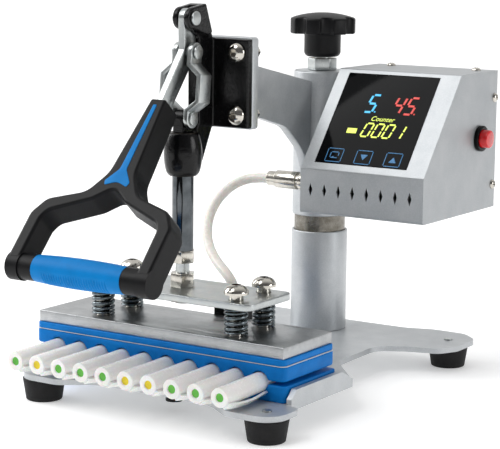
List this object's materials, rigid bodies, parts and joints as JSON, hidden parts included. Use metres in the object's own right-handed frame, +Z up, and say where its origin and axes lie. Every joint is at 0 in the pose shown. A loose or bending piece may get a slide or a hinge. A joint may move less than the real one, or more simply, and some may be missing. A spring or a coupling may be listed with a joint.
{
  "type": "swing-away pen heat press",
  "caption": "Bench heat press with grooved silicone moulds for pen barrels, an over-centre lever, a sprung heater plate, a swing-away arm and a tilted control box.",
  "frame": {"origin": "middle of the whole object's footprint, on the table that its feet stand on", "axes": "+X to the side that has the control box, +Y from the handle to the column, +Z up"},
  "size_m": [0.1992, 0.2916, 0.2274],
  "materials": {
    "silver_paint": "metallic satin",
    "black_rubber": "matte",
    "zinc_steel": "zinc plated",
    "nickel": "bright nickel",
    "ground_steel": "ground",
    "oiled_steel": "oiled, worn",
    "bronze": "oiled",
    "blue_silicone": "satin",
    "release_cloth": "matte",
    "heater_steel": "brushed",
    "spring_steel": "dark zinc",
    "black_enamel": "gloss",
    "black_plastic": "satin",
    "blue_plastic": "satin",
    "dark_panel": "gloss",
    "circuit_board": "satin",
    "white_plastic": "satin",
    "red_plastic": "gloss",
    "black_gloss_plastic": "gloss",
    "white_sleeve": "translucent",
    "brass_metal": "bright"
  },
  "bodies": {
    "base": {"base_plate": "silver_paint", "rubber_feet": "black_rubber", "foot_screws": "zinc_steel", "column_tube": "silver_paint", "swivel_post": "oiled_steel", "column_bolt": "zinc_steel", "thrust_washer": "bronze", "clamp_stud": "zinc_steel", "clamp_nut": "zinc_steel", "lower_mould": "blue_silicone", "mould_fixing_bolt": "black_enamel"},
    "head": {"swing_sleeve": "silver_paint", "sleeve_cap": "silver_paint", "arm_flange": "silver_paint", "swing_arm": "silver_paint", "toggle_casting": "black_enamel", "guide_bush": "bronze", "handle_pivot_pin": "zinc_steel", "flange_bolts": "nickel", "flange_nuts": "nickel", "control_housing": "silver_paint", "control_rear_cover": "silver_paint", "cover_screws": "nickel", "control_bracket": "silver_paint", "bracket_screws": "zinc_steel", "display_glass": "dark_panel", "display_board": "circuit_board", "button_bezel": "black_gloss_plastic", "power_board": "circuit_board", "solid_state_relay": "white_plastic", "power_inlet": "black_plastic", "inlet_pins": "brass_metal", "rocker_frame": "black_plastic", "hose_gland": "nickel", "heater_lead": "white_sleeve"},
    "handle": {"handle_bar": "zinc_steel", "handle_yoke": "black_plastic", "handle_inlay": "blue_plastic", "handle_grip": "blue_plastic", "grip_rod": "zinc_steel", "knee_pin": "zinc_steel"},
    "link": {"toggle_links": "zinc_steel", "link_rivets": "zinc_steel"},
    "plunger": {"plunger_rod": "nickel", "plunger_eye": "black_enamel", "plunger_stud": "zinc_steel", "plunger_nuts": "nickel", "pressure_bracket": "zinc_steel", "pressure_springs": "spring_steel"},
    "platen": {"heater_plate": "heater_steel", "heating_elements": "ground_steel", "heater_terminal_cover": "black_plastic", "silicone_pad": "blue_silicone", "release_sheet": "release_cloth", "upper_mould": "blue_silicone", "float_bolts": "nickel"},
    "knob": {"star_knob": "black_plastic", "knob_insert": "brass_metal"},
    "start_button": {"start_button": "red_plastic"},
    "power_rocker": {"power_rocker": "black_gloss_plastic"}
  },
  "joints": [
    {"name": "head_swing", "type": "hinge", "parent": "base", "child": "head", "pos_m": [-0.01225, 0.1051, 0.13], "axis": [0, 0, 1], "range_deg": [-90, 90]},
    {"name": "handle_lift", "type": "hinge", "parent": "head", "child": "handle", "pos_m": [-0.01225, -0.0429, 0.2194], "axis": [-1, 0, 0], "range_deg": [0, 90]},
    {"name": "link_swing", "type": "hinge", "parent": "handle", "child": "link", "pos_m": [-0.01225, -0.0421, 0.2005], "axis": [-1, 0, 0], "range_deg": [-120.92, 0]},
    {"name": "plunger_lift", "type": "slide", "parent": "head", "child": "plunger", "axis": [0, 0, 1], "range_m": [0, 0.02145], "deforming": ["heater_lead"]},
    {"name": "platen_float", "type": "slide", "parent": "plunger", "child": "platen", "axis": [0, 0, 1], "range_m": [0, 0.004], "deforming": ["pressure_springs"]},
    {"name": "knob_turn", "type": "hinge", "parent": "base", "child": "knob", "pos_m": [-0.01225, 0.1051, 0.21], "axis": [0, 0, 1], "range_deg": [-180, 180]},
    {"name": "start_press", "type": "slide", "parent": "head", "child": "start_button", "axis": [-1, 0, 0], "range_m": [0, 0.0025]},
    {"name": "rocker_tilt", "type": "hinge", "parent": "head", "child": "power_rocker", "pos_m": [0.06975, 0.1403, 0.124], "axis": [-1, 0, 0], "range_deg": [0, 18]}
  ],
  "couplings": [
    {"joint": "plunger_lift", "follows": "handle_lift", "m_per_rad": 0.013653},
    {"joint": "link_swing", "follows": "handle_lift", "ratio": -1.3434}
  ]
}
